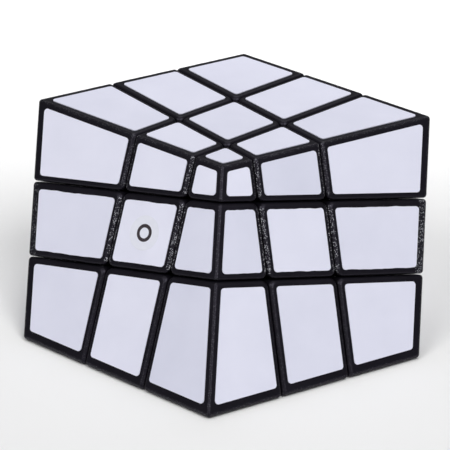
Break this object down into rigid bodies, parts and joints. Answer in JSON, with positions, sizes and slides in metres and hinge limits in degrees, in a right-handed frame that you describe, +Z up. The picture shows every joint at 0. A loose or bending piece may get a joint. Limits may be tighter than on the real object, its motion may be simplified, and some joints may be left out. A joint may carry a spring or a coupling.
{
  "type": "twisting rhombohedron puzzle",
  "caption": "Palm-sized twisting block puzzle whose faces are leaning rhombi: black pieces with plain silver stickers, and face layers that turn about a hidden core.",
  "frame": {"origin": "on the resting face's level, straight below the middle of the core", "axes": "+Z up out of the top face, which is level; -Y towards the near blunt corner, whose opposite is the back bottom corner; +X to the right, towards the right sharp corner"},
  "size_m": [0.102, 0.1088, 0.0524],
  "materials": {
    "black_abs": "satin moulded ABS",
    "silver_film": "satin silver film",
    "core_nylon": "moulded nylon",
    "plated_steel": "zinc plated"
  },
  "bodies": {
    "core": {"core": "core_nylon", "spring_screw_sets": "plated_steel"},
    "centre_front_right": {"centre_front_right": "black_abs", "cap_front_right": "black_abs", "centre_front_right_stickers": "silver_film"},
    "centre_back_left": {"centre_back_left": "black_abs", "cap_back_left": "black_abs", "centre_back_left_stickers": "silver_film"},
    "centre_front_left": {"centre_front_left": "black_abs", "cap_front_left": "black_abs", "centre_front_left_stickers": "silver_film"},
    "centre_back_right": {"centre_back_right": "black_abs", "cap_back_right": "black_abs", "centre_back_right_stickers": "silver_film"},
    "centre_top": {"centre_top": "black_abs", "cap_top": "black_abs", "centre_top_stickers": "silver_film"},
    "centre_bottom": {"centre_bottom": "black_abs", "cap_bottom": "black_abs", "centre_bottom_stickers": "silver_film"},
    "edge_middle_front": {"edge_middle_front": "black_abs", "edge_middle_front_stickers": "silver_film"},
    "edge_middle_right": {"edge_middle_right": "black_abs", "edge_middle_right_stickers": "silver_film"},
    "edge_top_front_right": {"edge_top_front_right": "black_abs", "edge_top_front_right_stickers": "silver_film"},
    "edge_bottom_front_right": {"edge_bottom_front_right": "black_abs", "edge_bottom_front_right_stickers": "silver_film"},
    "edge_middle_left": {"edge_middle_left": "black_abs", "edge_middle_left_stickers": "silver_film"},
    "edge_middle_back": {"edge_middle_back": "black_abs", "edge_middle_back_stickers": "silver_film"},
    "edge_top_back_left": {"edge_top_back_left": "black_abs", "edge_top_back_left_stickers": "silver_film"},
    "edge_bottom_back_left": {"edge_bottom_back_left": "black_abs", "edge_bottom_back_left_stickers": "silver_film"},
    "edge_top_front_left": {"edge_top_front_left": "black_abs", "edge_top_front_left_stickers": "silver_film"},
    "edge_bottom_front_left": {"edge_bottom_front_left": "black_abs", "edge_bottom_front_left_stickers": "silver_film"},
    "edge_top_back_right": {"edge_top_back_right": "black_abs", "edge_top_back_right_stickers": "silver_film"},
    "edge_bottom_back_right": {"edge_bottom_back_right": "black_abs", "edge_bottom_back_right_stickers": "silver_film"},
    "corner_top_front": {"corner_top_front": "black_abs", "corner_top_front_stickers": "silver_film"},
    "corner_bottom_front": {"corner_bottom_front": "black_abs", "corner_bottom_front_stickers": "silver_film"},
    "corner_top_right": {"corner_top_right": "black_abs", "corner_top_right_stickers": "silver_film"},
    "corner_bottom_right": {"corner_bottom_right": "black_abs", "corner_bottom_right_stickers": "silver_film"},
    "corner_top_left": {"corner_top_left": "black_abs", "corner_top_left_stickers": "silver_film"},
    "corner_bottom_left": {"corner_bottom_left": "black_abs", "corner_bottom_left_stickers": "silver_film"},
    "corner_top_back": {"corner_top_back": "black_abs", "corner_top_back_stickers": "silver_film"},
    "corner_bottom_back": {"corner_bottom_back": "black_abs", "corner_bottom_back_stickers": "silver_film"}
  },
  "joints": [
    {"name": "turn_front_right", "type": "hinge", "parent": "core", "child": "centre_front_right", "pos_m": [0, 0, 0.0262], "axis": [-0.7071, 0.6667, -0.2357], "continuous": true},
    {"name": "turn_back_left", "type": "hinge", "parent": "core", "child": "centre_back_left", "pos_m": [0, 0, 0.0262], "axis": [0.7071, -0.6667, 0.2357], "continuous": true},
    {"name": "turn_front_left", "type": "hinge", "parent": "core", "child": "centre_front_left", "pos_m": [0, 0, 0.0262], "axis": [0.7071, 0.6667, -0.2357], "continuous": true},
    {"name": "turn_back_right", "type": "hinge", "parent": "core", "child": "centre_back_right", "pos_m": [0, 0, 0.0262], "axis": [-0.7071, -0.6667, 0.2357], "continuous": true},
    {"name": "turn_top", "type": "hinge", "parent": "core", "child": "centre_top", "pos_m": [0, 0, 0.0262], "axis": [0, -0.3333, -0.9428], "continuous": true},
    {"name": "turn_bottom", "type": "hinge", "parent": "core", "child": "centre_bottom", "pos_m": [0, 0, 0.0262], "axis": [0, 0.3333, 0.9428], "continuous": true},
    {"name": "edge_middle_front_with_front_left", "type": "hinge", "parent": "centre_front_right", "child": "edge_middle_front", "pos_m": [0, 0, 0.0262], "axis": [0.7071, 0.6667, -0.2357], "continuous": true},
    {"name": "edge_middle_right_with_back_right", "type": "hinge", "parent": "centre_front_right", "child": "edge_middle_right", "pos_m": [0, 0, 0.0262], "axis": [-0.7071, -0.6667, 0.2357], "continuous": true},
    {"name": "edge_top_front_right_with_top", "type": "hinge", "parent": "centre_front_right", "child": "edge_top_front_right", "pos_m": [0, 0, 0.0262], "axis": [0, -0.3333, -0.9428], "continuous": true},
    {"name": "edge_bottom_front_right_with_bottom", "type": "hinge", "parent": "centre_front_right", "child": "edge_bottom_front_right", "pos_m": [0, 0, 0.0262], "axis": [0, 0.3333, 0.9428], "continuous": true},
    {"name": "edge_middle_left_with_back_left", "type": "hinge", "parent": "centre_front_left", "child": "edge_middle_left", "pos_m": [0, 0, 0.0262], "axis": [0.7071, -0.6667, 0.2357], "continuous": true},
    {"name": "edge_middle_back_with_back_left", "type": "hinge", "parent": "centre_back_right", "child": "edge_middle_back", "pos_m": [0, 0, 0.0262], "axis": [0.7071, -0.6667, 0.2357], "continuous": true},
    {"name": "edge_top_back_left_with_back_left", "type": "hinge", "parent": "centre_top", "child": "edge_top_back_left", "pos_m": [0, 0, 0.0262], "axis": [0.7071, -0.6667, 0.2357], "continuous": true},
    {"name": "edge_bottom_back_left_with_back_left", "type": "hinge", "parent": "centre_bottom", "child": "edge_bottom_back_left", "pos_m": [0, 0, 0.0262], "axis": [0.7071, -0.6667, 0.2357], "continuous": true},
    {"name": "edge_top_front_left_with_top", "type": "hinge", "parent": "centre_front_left", "child": "edge_top_front_left", "pos_m": [0, 0, 0.0262], "axis": [0, -0.3333, -0.9428], "continuous": true},
    {"name": "edge_bottom_front_left_with_front_left", "type": "hinge", "parent": "centre_bottom", "child": "edge_bottom_front_left", "pos_m": [0, 0, 0.0262], "axis": [0.7071, 0.6667, -0.2357], "continuous": true},
    {"name": "edge_top_back_right_with_back_right", "type": "hinge", "parent": "centre_top", "child": "edge_top_back_right", "pos_m": [0, 0, 0.0262], "axis": [-0.7071, -0.6667, 0.2357], "continuous": true},
    {"name": "edge_bottom_back_right_with_bottom", "type": "hinge", "parent": "centre_back_right", "child": "edge_bottom_back_right", "pos_m": [0, 0, 0.0262], "axis": [0, 0.3333, 0.9428], "continuous": true},
    {"name": "corner_top_front_with_top", "type": "hinge", "parent": "edge_middle_front", "child": "corner_top_front", "pos_m": [0, 0, 0.0262], "axis": [0, -0.3333, -0.9428], "continuous": true},
    {"name": "corner_bottom_front_with_bottom", "type": "hinge", "parent": "edge_middle_front", "child": "corner_bottom_front", "pos_m": [0, 0, 0.0262], "axis": [0, 0.3333, 0.9428], "continuous": true},
    {"name": "corner_top_right_with_top", "type": "hinge", "parent": "edge_middle_right", "child": "corner_top_right", "pos_m": [0, 0, 0.0262], "axis": [0, -0.3333, -0.9428], "continuous": true},
    {"name": "corner_bottom_right_with_bottom", "type": "hinge", "parent": "edge_middle_right", "child": "corner_bottom_right", "pos_m": [0, 0, 0.0262], "axis": [0, 0.3333, 0.9428], "continuous": true},
    {"name": "corner_top_left_with_top", "type": "hinge", "parent": "edge_middle_left", "child": "corner_top_left", "pos_m": [0, 0, 0.0262], "axis": [0, -0.3333, -0.9428], "continuous": true},
    {"name": "corner_bottom_left_with_bottom", "type": "hinge", "parent": "edge_middle_left", "child": "corner_bottom_left", "pos_m": [0, 0, 0.0262], "axis": [0, 0.3333, 0.9428], "continuous": true},
    {"name": "corner_top_back_with_top", "type": "hinge", "parent": "edge_middle_back", "child": "corner_top_back", "pos_m": [0, 0, 0.0262], "axis": [0, -0.3333, -0.9428], "continuous": true},
    {"name": "corner_bottom_back_with_bottom", "type": "hinge", "parent": "edge_middle_back", "child": "corner_bottom_back", "pos_m": [0, 0, 0.0262], "axis": [0, 0.3333, 0.9428], "continuous": true}
  ],
  "couplings": [
    {"joint": "edge_middle_front_with_front_left", "follows": "turn_front_left", "ratio": 1},
    {"joint": "edge_middle_right_with_back_right", "follows": "turn_back_right", "ratio": 1},
    {"joint": "edge_top_front_right_with_top", "follows": "turn_top", "ratio": 1},
    {"joint": "edge_bottom_front_right_with_bottom", "follows": "turn_bottom", "ratio": 1},
    {"joint": "edge_middle_left_with_back_left", "follows": "turn_back_left", "ratio": 1},
    {"joint": "edge_middle_back_with_back_left", "follows": "turn_back_left", "ratio": 1},
    {"joint": "edge_top_back_left_with_back_left", "follows": "turn_back_left", "ratio": 1},
    {"joint": "edge_bottom_back_left_with_back_left", "follows": "turn_back_left", "ratio": 1},
    {"joint": "edge_top_front_left_with_top", "follows": "turn_top", "ratio": 1},
    {"joint": "edge_bottom_front_left_with_front_left", "follows": "turn_front_left", "ratio": 1},
    {"joint": "edge_top_back_right_with_back_right", "follows": "turn_back_right", "ratio": 1},
    {"joint": "edge_bottom_back_right_with_bottom", "follows": "turn_bottom", "ratio": 1},
    {"joint": "corner_top_front_with_top", "follows": "turn_top", "ratio": 1},
    {"joint": "corner_bottom_front_with_bottom", "follows": "turn_bottom", "ratio": 1},
    {"joint": "corner_top_right_with_top", "follows": "turn_top", "ratio": 1},
    {"joint": "corner_bottom_right_with_bottom", "follows": "turn_bottom", "ratio": 1},
    {"joint": "corner_top_left_with_top", "follows": "turn_top", "ratio": 1},
    {"joint": "corner_bottom_left_with_bottom", "follows": "turn_bottom", "ratio": 1},
    {"joint": "corner_top_back_with_top", "follows": "turn_top", "ratio": 1},
    {"joint": "corner_bottom_back_with_bottom", "follows": "turn_bottom", "ratio": 1}
  ]
}
